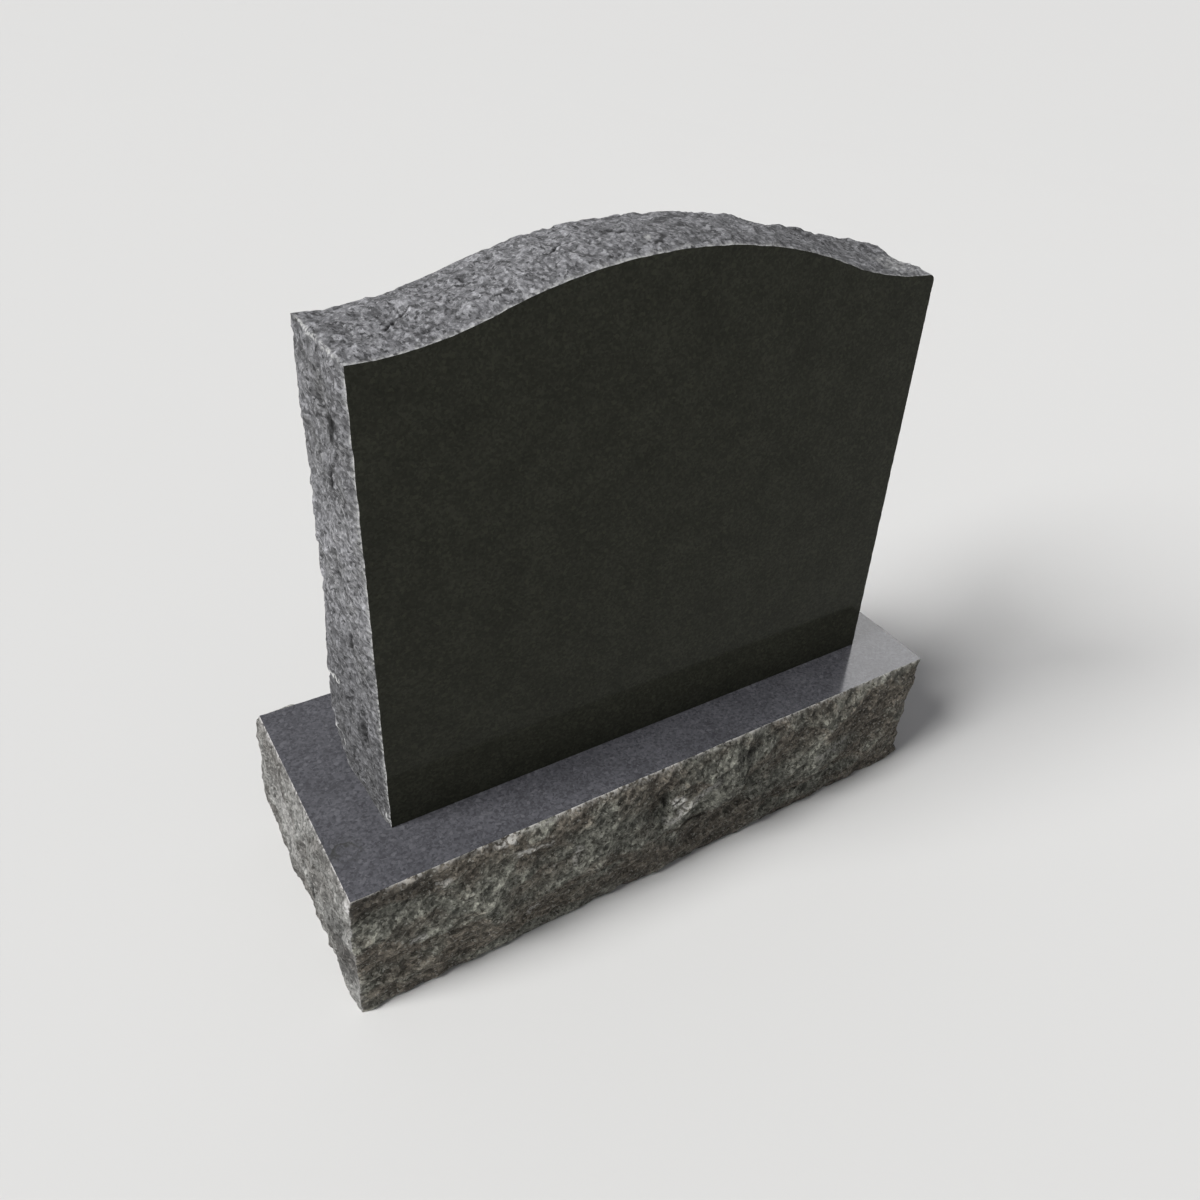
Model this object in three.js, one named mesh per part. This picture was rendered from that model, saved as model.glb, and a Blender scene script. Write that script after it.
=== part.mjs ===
// Headstone of dark granite: a serpentine-topped tablet standing on a rock-pitched base.
// Millimetres, +Z up. The polished front faces -Y, the stone's left is -X, and the origin
// is the middle of the base's underside.

import * as THREE from 'three';

// Driving dimensions
const BASE_LENGTH = 914.4;
const BASE_DEPTH = 355.6;
const BASE_HEIGHT = 203.2;
const TABLET_WIDTH = 762;
const TABLET_THICKNESS = 152.4;
const SHOULDER_HEIGHT = 597;
const SERPENTINE_RISE = 70;
const FRONT_LEDGE = 80.7;
const SET_TO_RIGHT = 3;
const BED_JOINT = 0.3;
const WORN_SHOULDER = 8;

// Of the two radii that make the serpentine, the share that the crown's arc takes
const CROWN_SHARE = 0.6;

// Rock pitching: the rough swell of a face, in millimetres. It rises from a crisp arris
// over LIP, and falls away towards a rough corner over CORNER_LIP.
const BASE_BULGE = 13;
const TABLET_BULGE = 5;
const BACK_BULGE = 9;
const LIP = 18;
const CORNER_LIP = 30;
const CORNER_BLEND = 45;

// Spacing of the points on a pitched face, and of the first row beside an arris
const STEP = 21;
const ARRIS_STEP = 8;

// A pitched face is worked out from its swell, two sizes of hollow left by the blows, and
// the few large forms that stand out on it. kept says how much of the swell is left at
// the face's low and high end along u, then along v: none at a crisp arris. A form's place
// is a share of the face, and it reaches over a rough edge but not over a crisp one.
const BASE_FRONT = {
  length: BASE_LENGTH, height: BASE_HEIGHT, bulge: BASE_BULGE, seed: 11,
  kept: [0.45, 0.05, 0.1, 0],
  forms: [
    { name: 'long lower crest', at: [0.23, 0.42], half: 230, above: 75, below: 30, turn: -6, rise: 5 },
    { name: 'middle ridge', at: [0.59, 0.6], half: 100, above: 45, below: 24, turn: 37, rise: 8 },
    { name: 'right ridge', at: [0.77, 0.41], half: 135, above: 60, below: 26, turn: 12, rise: 7 },
    { name: 'left spall', at: [0.06, 0.86], half: 75, above: 26, below: 40, turn: 0, rise: -9 },
    { name: 'low hollow', at: [0.23, 0.12], half: 120, above: 45, below: 30, turn: 0, rise: -6 },
    { name: 'cleft', at: [0.46, 0.7], half: 44, above: 16, below: 16, turn: 75, rise: -6 },
  ],
};
const BASE_BACK = {
  length: BASE_LENGTH, height: BASE_HEIGHT, bulge: BASE_BULGE, seed: 23,
  kept: [0.6, 0.4, 0.3, 0],
  forms: [
    { name: 'crest', at: [0.62, 0.45], half: 260, above: 70, below: 35, turn: 7, rise: 5 },
  ],
};
const BASE_LEFT = {
  length: BASE_DEPTH, height: BASE_HEIGHT, bulge: BASE_BULGE, seed: 37,
  kept: [0.42, 0.7, 0.6, 0],
  forms: [
    { name: 'notch', at: [0.3, 0.25], half: 90, above: 52, below: 52, turn: 80, rise: -7 },
    { name: 'brow', at: [0.7, 0.35], half: 70, above: 70, below: 60, turn: 10, rise: 5 },
  ],
};
const BASE_RIGHT = {
  length: BASE_DEPTH, height: BASE_HEIGHT, bulge: BASE_BULGE, seed: 41,
  kept: [0.05, 0.5, 0.3, 0],
  forms: [
    { name: 'brow', at: [0.45, 0.42], half: 120, above: 60, below: 30, turn: -8, rise: 5 },
  ],
};
const TABLET_LEFT = {
  length: TABLET_THICKNESS, height: SHOULDER_HEIGHT, bulge: TABLET_BULGE, seed: 53,
  kept: [0, 0.35, 0.6, 0.3],
  forms: [
    { name: 'flare at the foot', at: [1, 0.2], half: 110, above: 200, below: 190, turn: 0, rise: 10 },
    { name: 'hollow', at: [0.4, 0.86], half: 70, above: 20, below: 20, turn: 90, rise: -4 },
  ],
};
const TABLET_RIGHT = {
  length: TABLET_THICKNESS, height: SHOULDER_HEIGHT, bulge: TABLET_BULGE, seed: 61,
  kept: [0, 0.35, 0.6, 0.1],
  forms: [],
};
const TABLET_TOP = {
  length: TABLET_WIDTH, height: TABLET_THICKNESS, bulge: TABLET_BULGE, seed: 79,
  kept: [0.3, 0.35, 0, 0.1],
  forms: [
    { name: 'fall to the back', at: [0.33, 1], half: 330, above: 95, below: 95, turn: 0, rise: -7 },
    { name: 'right hump', at: [0.88, 1], half: 80, above: 80, below: 80, turn: 0, rise: 10 },
    { name: 'end hump', at: [1, 0.7], half: 60, above: 45, below: 40, turn: 0, rise: 6 },
  ],
};
const TABLET_BACK = {
  length: TABLET_WIDTH, height: SHOULDER_HEIGHT, bulge: BACK_BULGE, seed: 83,
  kept: [0.35, 0.35, 0.7, 0.4],
  forms: [],
};

// Hollows left by the blows: spacing and depth of the large and of the middling ones,
// for a bulge of full size, and the length and height of the slow waves under them
const BOWL = { spacing: 88, depth: 13 };
const CHIP = { spacing: 41, depth: 4 };
const WAVE = { spacing: 190, height: 4 };
const FULL_BULGE = 13;

// A fixed number from 0 to 1 for each lattice point
function scatter(i, j, seed) {
  let h = Math.imul(i, 374761393) + Math.imul(j, 668265263) + Math.imul(seed, 974634777);
  h = Math.imul(h ^ (h >>> 13), 1274126177);
  h ^= h >>> 16;
  return (h >>> 0) / 4294967296;
}

// Slow waves from -1 to 1
function waves(x, y, seed) {
  const i = Math.floor(x);
  const j = Math.floor(y);
  const ease = (t) => t * t * (3 - 2 * t);
  const fx = ease(x - i);
  const fy = ease(y - j);
  const low = scatter(i, j, seed) * (1 - fx) + scatter(i + 1, j, seed) * fx;
  const high = scatter(i, j + 1, seed) * (1 - fx) + scatter(i + 1, j + 1, seed) * fx;
  return 2 * (low * (1 - fy) + high * fy) - 1;
}

// Shell-shaped hollows that meet in sharp crests, about -0.5 to 0.5
function bowls(x, y, seed) {
  const i = Math.floor(x);
  const j = Math.floor(y);
  let lowest = Infinity;
  for (let a = i - 2; a <= i + 2; a++) {
    for (let b = j - 2; b <= j + 2; b++) {
      const dx = x - a - scatter(a, b, seed);
      const dy = y - b - scatter(a, b, seed + 1);
      const lean = scatter(a, b, seed + 2) - 0.5;
      const level = dx * dx + dy * dy + 0.7 * scatter(a, b, seed + 3) + 0.5 * lean * dx;
      lowest = Math.min(lowest, level);
    }
  }
  return lowest - 0.5;
}

// One of the large forms: a ridge or trough along its own line, with a reach to each side
function formHeight(form, face, u, v) {
  const turn = THREE.MathUtils.degToRad(form.turn);
  const du = u - form.at[0] * face.length;
  const dv = v - form.at[1] * face.height;
  const along = du * Math.cos(turn) + dv * Math.sin(turn);
  const across = dv * Math.cos(turn) - du * Math.sin(turn);
  const reach = across > 0 ? form.above : form.below;
  const end = Math.max(0, 1 - (along / form.half) ** 2);
  const side = Math.max(0, 1 - Math.abs(across) / reach);
  return form.rise * end * side * side * (3 - 2 * side);
}

// How far the face stands out beyond its nominal plane, u and v in millimetres
function relief(face, u, v) {
  const strength = face.bulge / FULL_BULGE;
  const wave = WAVE.height * waves(u / WAVE.spacing, v / WAVE.spacing, face.seed);
  const bowl = BOWL.depth * bowls(u / BOWL.spacing, v / BOWL.spacing, face.seed + 1);
  const chip = CHIP.depth * bowls(u / CHIP.spacing, v / CHIP.spacing, face.seed + 5);
  let swell = face.bulge + strength * (wave + bowl + chip);
  let large = 0;
  for (const form of face.forms) {
    large += formHeight(form, face, u, v);
  }
  const reaches = [u, face.length - u, v, face.height - v];
  reaches.forEach((reach, edge) => {
    const lip = face.kept[edge] > 0 ? CORNER_LIP : LIP;
    const fade = Math.exp(-Math.max(0, reach) / lip);
    swell *= 1 - (1 - face.kept[edge]) * fade;
    large *= face.kept[edge] > 0 ? 1 : 1 - fade;
  });
  return swell + large;
}

// Height of the serpentine top above the tablet's bed: two arcs, level where they end
const crownHeight = SHOULDER_HEIGHT + SERPENTINE_RISE;
const halfWidth = TABLET_WIDTH / 2;
const bothRadii = (halfWidth ** 2 + SERPENTINE_RISE ** 2) / (2 * SERPENTINE_RISE);
const crownRadius = CROWN_SHARE * bothRadii;
const flankRadius = bothRadii - crownRadius;
const meetX = crownRadius * (halfWidth / bothRadii);

function serpentine(x) {
  const across = Math.min(Math.abs(x), halfWidth);
  if (across < meetX) {
    return crownHeight - crownRadius + Math.sqrt(crownRadius ** 2 - across ** 2);
  }
  return SHOULDER_HEIGHT + flankRadius - Math.sqrt(flankRadius ** 2 - (halfWidth - across) ** 2);
}

function serpentineNormal(x) {
  const across = Math.min(Math.abs(x), halfWidth);
  const run = across < meetX ? across : halfWidth - across;
  const radius = across < meetX ? crownRadius : flankRadius;
  const slope = Math.sign(x) * run / Math.sqrt(radius ** 2 - run ** 2);
  return new THREE.Vector3(slope, 0, 1).normalize();
}

// Places along one edge, with a close row at each end
function stations(length) {
  const inner = length - 2 * ARRIS_STEP;
  const cells = Math.max(1, Math.round(inner / STEP));
  const list = [0];
  for (let n = 0; n <= cells; n++) {
    list.push(ARRIS_STEP + (inner * n) / cells);
  }
  list.push(length);
  return list;
}

// The six sides of a lattice block: which lattice point lies at (a, b), with a x b outwards
function blockSides(nx, ny, nz) {
  return {
    front: { na: nx, nb: nz, at: (a, b) => [a, 0, b] },
    back: { na: nz, nb: nx, at: (a, b) => [b, ny, a] },
    left: { na: nz, nb: ny, at: (a, b) => [0, b, a] },
    right: { na: ny, nb: nz, at: (a, b) => [nx, a, b] },
    bottom: { na: ny, nb: nx, at: (a, b) => [b, a, 0] },
    top: { na: nx, nb: ny, at: (a, b) => [a, b, nz] },
  };
}

// A closed block. A pitched side carries the whole lattice, and a dressed side is flat, so
// it is a fan from its middle to the points around its rim.
function blockGeometry(xs, ys, zs, placed, dressed) {
  const counts = [xs.length - 1, ys.length - 1, zs.length - 1];
  const positions = [];
  const index = [];
  const known = new Map();

  const vertex = ([i, j, k]) => {
    const key = `${i} ${j} ${k}`;
    if (!known.has(key)) {
      known.set(key, positions.length / 3);
      positions.push(...placed(xs[i], ys[j], zs[k]));
    }
    return known.get(key);
  };

  const addLattice = (side) => {
    for (let a = 0; a < side.na; a++) {
      for (let b = 0; b < side.nb; b++) {
        const p = vertex(side.at(a, b));
        const q = vertex(side.at(a + 1, b));
        const r = vertex(side.at(a + 1, b + 1));
        const s = vertex(side.at(a, b + 1));
        const crossed = (a + b) % 2 === 0;
        index.push(...(crossed ? [p, q, r, p, r, s] : [p, q, s, q, r, s]));
      }
    }
  };

  const addFan = (side) => {
    const rim = [];
    for (let a = 0; a < side.na; a++) rim.push(vertex(side.at(a, 0)));
    for (let b = 0; b < side.nb; b++) rim.push(vertex(side.at(side.na, b)));
    for (let a = side.na; a > 0; a--) rim.push(vertex(side.at(a, side.nb)));
    for (let b = side.nb; b > 0; b--) rim.push(vertex(side.at(0, b)));
    const middle = positions.length / 3;
    const centre = [0, 0, 0];
    for (const point of rim) {
      for (let axis = 0; axis < 3; axis++) {
        centre[axis] += positions[3 * point + axis] / rim.length;
      }
    }
    positions.push(...centre);
    rim.forEach((point, n) => index.push(middle, point, rim[(n + 1) % rim.length]));
  };

  for (const [name, side] of Object.entries(blockSides(...counts))) {
    if (dressed.includes(name)) {
      addFan(side);
    } else {
      addLattice(side);
    }
  }
  const geometry = new THREE.BufferGeometry();
  geometry.setAttribute('position', new THREE.Float32BufferAttribute(positions, 3));
  geometry.setIndex(index);
  geometry.computeVertexNormals();
  return geometry;
}

// Moves a nominal point outwards by the relief of each pitched face that it is on or near
function pitch(point, sides) {
  const moved = point.clone();
  for (const { face, u, v, inside, normal } of sides) {
    const share = Math.max(0, 1 - inside / CORNER_BLEND) ** 2;
    if (share > 0) {
      moved.addScaledVector(normal, share * relief(face, u, v));
    }
  }
  return moved;
}

const FRONTWARD = new THREE.Vector3(0, -1, 0);
const BACKWARD = new THREE.Vector3(0, 1, 0);
const LEFTWARD = new THREE.Vector3(-1, 0, 0);
const RIGHTWARD = new THREE.Vector3(1, 0, 0);

function basePoint(along, deep, high) {
  const point = new THREE.Vector3(along - BASE_LENGTH / 2, deep - BASE_DEPTH / 2, high);
  return pitch(point, [
    { face: BASE_FRONT, u: along, v: high, inside: deep, normal: FRONTWARD },
    { face: BASE_BACK, u: along, v: high, inside: BASE_DEPTH - deep, normal: BACKWARD },
    { face: BASE_LEFT, u: deep, v: high, inside: along, normal: LEFTWARD },
    { face: BASE_RIGHT, u: deep, v: high, inside: BASE_LENGTH - along, normal: RIGHTWARD },
  ]);
}

// The right shoulder has lost its sharp corner
function wearShoulder(point, bed) {
  const centreX = halfWidth - WORN_SHOULDER;
  const centreZ = bed + SHOULDER_HEIGHT - WORN_SHOULDER;
  const dx = point.x - centreX;
  const dz = point.z - centreZ;
  const reach = Math.hypot(dx, dz);
  if (dx > 0 && dz > 0 && reach > WORN_SHOULDER) {
    point.x = centreX + (dx * WORN_SHOULDER) / reach;
    point.z = centreZ + (dz * WORN_SHOULDER) / reach;
  }
  return point;
}

function tabletPoint(along, deep, high) {
  const bed = BASE_HEIGHT + BED_JOINT;
  const x = along - halfWidth;
  const crest = serpentine(x);
  const level = (high / SHOULDER_HEIGHT) * crest;
  const y = FRONT_LEDGE - BASE_DEPTH / 2 + deep;
  const nominal = wearShoulder(new THREE.Vector3(x, y, bed + level), bed);
  nominal.x += SET_TO_RIGHT;
  return pitch(nominal, [
    { face: TABLET_BACK, u: along, v: high, inside: TABLET_THICKNESS - deep, normal: BACKWARD },
    { face: TABLET_LEFT, u: deep, v: high, inside: along, normal: LEFTWARD },
    { face: TABLET_RIGHT, u: deep, v: high, inside: TABLET_WIDTH - along, normal: RIGHTWARD },
    { face: TABLET_TOP, u: along, v: deep, inside: crest - level, normal: serpentineNormal(x) },
  ]);
}

function stone(color, roughness) {
  return new THREE.MeshStandardMaterial({ color, roughness, metalness: 0, flatShading: true });
}

function makeBase() {
  const geometry = blockGeometry(
    stations(BASE_LENGTH), stations(BASE_DEPTH), stations(BASE_HEIGHT),
    basePoint, ['top', 'bottom'],
  );
  const mesh = new THREE.Mesh(geometry, stone(0x77746e, 0.9));
  mesh.name = 'base';
  return mesh;
}

function makeTablet() {
  const geometry = blockGeometry(
    stations(TABLET_WIDTH), stations(TABLET_THICKNESS), stations(SHOULDER_HEIGHT),
    tabletPoint, ['front', 'bottom'],
  );
  const mesh = new THREE.Mesh(geometry, stone(0x26271f, 0.2));
  mesh.name = 'tablet';
  return mesh;
}

const headstone = new THREE.Group();
headstone.add(makeBase(), makeTablet());

export default headstone;
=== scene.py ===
"""Looks of a granite headstone: a polished serpentine-topped tablet on a rock-pitched base.

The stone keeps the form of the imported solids, with the same relief worked out on a finer
lattice. Relief is reckoned in millimetres, and Blender's objects are in metres.
"""

import math

import bpy
import numpy as np
from mathutils import Matrix, Vector


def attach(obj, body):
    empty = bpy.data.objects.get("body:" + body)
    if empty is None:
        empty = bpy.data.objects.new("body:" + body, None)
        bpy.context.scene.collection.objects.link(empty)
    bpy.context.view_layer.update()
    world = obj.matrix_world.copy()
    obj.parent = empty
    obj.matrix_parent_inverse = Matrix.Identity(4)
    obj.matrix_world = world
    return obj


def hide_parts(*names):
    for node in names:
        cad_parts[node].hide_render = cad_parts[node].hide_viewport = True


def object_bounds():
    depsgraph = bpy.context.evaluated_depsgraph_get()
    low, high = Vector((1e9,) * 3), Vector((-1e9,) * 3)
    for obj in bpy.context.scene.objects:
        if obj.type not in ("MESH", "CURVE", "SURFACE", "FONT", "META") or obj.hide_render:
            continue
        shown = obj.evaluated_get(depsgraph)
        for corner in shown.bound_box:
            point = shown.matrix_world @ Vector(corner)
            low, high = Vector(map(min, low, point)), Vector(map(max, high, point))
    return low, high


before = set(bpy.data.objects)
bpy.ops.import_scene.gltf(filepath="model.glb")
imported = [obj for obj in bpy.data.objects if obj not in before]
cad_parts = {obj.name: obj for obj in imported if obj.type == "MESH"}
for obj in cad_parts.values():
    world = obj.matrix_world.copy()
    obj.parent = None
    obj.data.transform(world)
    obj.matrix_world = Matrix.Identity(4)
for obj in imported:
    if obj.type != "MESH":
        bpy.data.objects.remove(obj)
cad_low, cad_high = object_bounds()

MM = 0.001

# Relief of a pitched face, as in the solids: hollows left by the blows, and slow waves
BOWL = {"spacing": 88, "depth": 13}
CHIP = {"spacing": 41, "depth": 4}
WAVE = {"spacing": 190, "height": 4}
FULL_BULGE = 13

# How uneven the hollows are, and how far they lean
BOWL_UNEVEN = 0.7
BOWL_LEAN = 0.5

# The swell rises from a crisp arris over LIP and falls away towards a rough corner over
# CORNER_LIP. Nearer to a corner than CORNER_BLEND, the relief of the next face joins in.
LIP = 18
CORNER_LIP = 30
CORNER_BLEND = 45

# The tablet: its worn right shoulder, the crown's share of the serpentine's two radii, and its
# thickness, for which the rough back of the solid has no crisp arris
WORN_SHOULDER = 8
CROWN_SHARE = 0.6
TABLET_THICKNESS = 152.4

# What only the fine lattice can hold: flakes, grit, crystals and nicks in the arrises
FLAKE = {"spacing": 19, "depth": 5.6}
GRIT = {"spacing": 8.5, "depth": 3.0}
CRYSTAL = {"spacing": 4.4, "height": 0.6}
NICK = {"spacing": 17, "depth": 1.6}
FINE_LIP = 3
STREAK_STRETCH = 1.7
LEAST_ROUGH = 0.75

# How much a spot lies in a pit, from the grit and flakes there. The pitched material paints shade into
# the pits and light onto the crests by it.
HOLLOW = {"level": 0.5, "per_grit": 0.7, "per_flake": 0.25}

# The ragged outline of a small mark
WANDER = {"spacing": 7, "share": 0.8, "most": 5}

# How much a spot is an underside, from its lean, its height in mm and the foot of the face. The
# pitched material paints shade there and browns it with its stain.
UNDERSIDE = {"level": 0.42, "per_lean": 2.4, "per_mm": 0.035, "at_foot": 0.4}
LEAN_REACH = 3
FOOT_REACH = 40

# Whitening along an edge: its strength, and the mm over which it fades
ROUGH_EDGE_BRUISE = (0.3, 2)
CRISP_EDGE_BRUISE = (1, 2.2)

# The fine lattices: their steps, the close rows beside an arris, and the band inside the rim
# of a dressed face
BASE_STEP = 2.4
TABLET_STEP = 2.1
ARRIS_ROWS = (0, 1.1, 2.4, 4.0)
RIM = 2.2

# Lengths that count as nothing, on the solids and on the fine lattice
SAME_LEVEL = 0.02
TINY = 1e-6

# Patterns of the stone, in waves or crystals to the metre
STAIN_SCALE = 26.0
CHAOS_SCALE = 300.0
SMALL_GRAIN_SCALE = 380.0
FLECK_SCALE = 175.0
GLINT_SCALE = 420.0
BRUISE_SCALE = 210.0
GRIT_SCALE = 380.0
CLOUD_SCALE = 20.0
TINT_SCALE = 360.0
SHADE_SCALE = 300.0
SPARK_SCALE = 240.0
SAWN_GRAIN_SCALE = 320.0
SAW_STROKE_SCALE = 60.0

# How far the crystals' outlines are shaken, in metres, and in waves to the metre
PITCHED_SHAKE = {"reach": 0.003, "scale": 260.0}
POLISHED_SHAKE = {"reach": 0.005, "scale": 200.0}
SAWN_SHAKE = {"reach": 0.004, "scale": 200.0}
SMUDGE_SHAKE = {"reach": 0.03, "scale": 90.0}

# The brown stain, which also grows on undersides as painted shade: how far it follows its patches, and
# how much there must be before it shows
STAIN_PER_PATCH = 1.6
STAIN_START = 1.3

# A stain on the base's polish: its tone, how fast it fades outwards, how fast it grows towards
# the back, and how far in front of its middle that starts
SMUDGE_TONE = (0.034, 0.035, 0.03)
SMUDGE_OUTWARDS = 28.0
SMUDGE_BACKWARDS = 45.0
SMUDGE_AHEAD = 0.027

# The hash behind the scatter: odd numbers that spread neighbours over a 32-bit word
SPREAD_I = 374761393
SPREAD_J = 668265263
SPREAD_SEED = 974634777
SPREAD_AGAIN = 1274126177
WORD = 0xFFFFFFFF


def mark(u, v, half, reach, turn, depth=0, pale=0, painted_shade_and_stain=0):
    """A small crack, dent or crushed patch, in mm on the face, with a ragged outline. Its last value
    darkens cracks and dark spots with painted shade; in a rust mark it adds brown stain, and painted
    shade with it.
    """
    return {
        "at": (u, v), "half": half, "reach": reach, "turn": math.radians(turn),
        "depth": depth, "pale": pale, "painted_shade_and_stain": painted_shade_and_stain,
    }


def form(along, up, half, above, below, turn, rise):
    """A large ridge or trough. Its place is a share of the face, the rest is in mm."""
    return {
        "at": (along, up), "half": half, "above": above, "below": below,
        "turn": math.radians(turn), "rise": rise,
    }


# The pitched faces. u runs along a face and v up it, or back across the tablet's top.
# bulge: how far the face swells out. seed: which scatter it takes. kept: how much of the swell
# is left at the low and high end along u, then along v, where 0 is a crisp arris.
# forms: ridges and troughs, as in the solids. ledges: shorter ones on the fine lattice alone.
# streak: which way the flakes run, in degrees. marks: small cracks, chips and spots, with painted
# shade in the cracks and dark spots.
# The wide patches after the marks: painted shade, where less light falls. rust: where the brown stain,
# with the painted shade that follows it, is stronger, or weaker if below 0.
BASE_FACES = {
    "front": {
        "bulge": 13, "seed": 11, "kept": (0.45, 0.05, 0.1, 0),
        "forms": [
            form(0.23, 0.42, 230, 75, 30, -6, 5),
            form(0.59, 0.6, 100, 45, 24, 37, 8),
            form(0.77, 0.41, 135, 60, 26, 12, 7),
            form(0.06, 0.86, 75, 26, 40, 0, -9),
            form(0.23, 0.12, 120, 45, 30, 0, -6),
            form(0.46, 0.7, 44, 16, 16, 75, -6),
        ],
        "ledges": [
            form(0.607, 0.6, 70, 10, 44, 72, -9),
            form(0.54, 0.45, 80, 10, 44, 8, -9),
            form(0.468, 0.63, 60, 40, 9, 84, -7),
            form(0.775, 0.27, 105, 12, 30, 6, -8),
            form(0.69, 0.33, 45, 10, 25, 40, -7),
            form(0.33, 0.37, 70, 8, 26, 4, -7),
            form(0.09, 0.42, 90, 10, 26, 0, -5),
            form(1, 0.35, 130, 40, 40, 90, -6),
        ],
        "streak": 24,
        "marks": [
            mark(226, 171, 30, 6, -8, pale=0.8), mark(288, 124, 20, 5, 70, pale=0.5),
            mark(190, 199, 20, 9, 0, pale=0.7), mark(447, 140, 11, 9, 30, pale=1),
            mark(470, 128, 52, 10, 30, pale=0.55), mark(70, 102, 12, 4, 20, pale=0.7),
            mark(225, 54, 10, 5, 40, pale=0.6), mark(107, 176, 12, 7, 0, pale=0.5),
            mark(430, 128, 34, 5, 80, depth=4, painted_shade_and_stain=0.6), mark(40, 180, 60, 24, -4, painted_shade_and_stain=0.35),
            mark(488, 93, 60, 4, 8, depth=2, painted_shade_and_stain=0.7), mark(570, 165, 44, 9, 56, painted_shade_and_stain=0.6),
            mark(551, 114, 24, 6, 86, depth=2, painted_shade_and_stain=0.7), mark(710, 55, 70, 5, 6, painted_shade_and_stain=0.5),
            mark(730, 110, 44, 6, 2, pale=0.25), mark(285, 78, 40, 3, 0, painted_shade_and_stain=0.6),
        ],
        "painted_shade_patches": [mark(560, 90, 330, 260, 0, painted_shade_and_stain=0.35)],
        "rust": [
            mark(790, 150, 140, 70, -6, painted_shade_and_stain=0.55), mark(450, 42, 150, 44, 4, painted_shade_and_stain=0.4),
            mark(130, 40, 130, 40, 0, painted_shade_and_stain=0.3), mark(485, 188, 50, 18, 0, painted_shade_and_stain=0.4),
            mark(340, 150, 110, 46, 0, painted_shade_and_stain=-0.3), mark(495, 130, 60, 30, 10, painted_shade_and_stain=-0.4),
            mark(705, 106, 80, 18, 5, painted_shade_and_stain=-0.4),
        ],
    },
    "back": {
        "bulge": 13, "seed": 23, "kept": (0.6, 0.4, 0.3, 0),
        "forms": [form(0.62, 0.45, 260, 70, 35, 7, 5)],
    },
    "left": {
        "bulge": 13, "seed": 37, "kept": (0.42, 0.7, 0.6, 0),
        "forms": [form(0.3, 0.25, 90, 52, 52, 80, -7), form(0.7, 0.35, 70, 70, 60, 10, 5)],
        "streak": 80,
        "marks": [
            mark(124, 98, 40, 7, 78, depth=4, painted_shade_and_stain=0.9), mark(40, 90, 60, 40, 80, painted_shade_and_stain=0.45),
            mark(230, 120, 60, 26, 20, pale=0.3), mark(4, 190, 9, 12, 80, pale=0.9),
        ],
    },
    "right": {
        "bulge": 13, "seed": 41, "kept": (0.05, 0.5, 0.3, 0),
        "forms": [form(0.45, 0.42, 120, 60, 30, -8, 5)],
        "ledges": [form(0, 0.35, 130, 40, 40, 90, -5)],
    },
}
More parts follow.
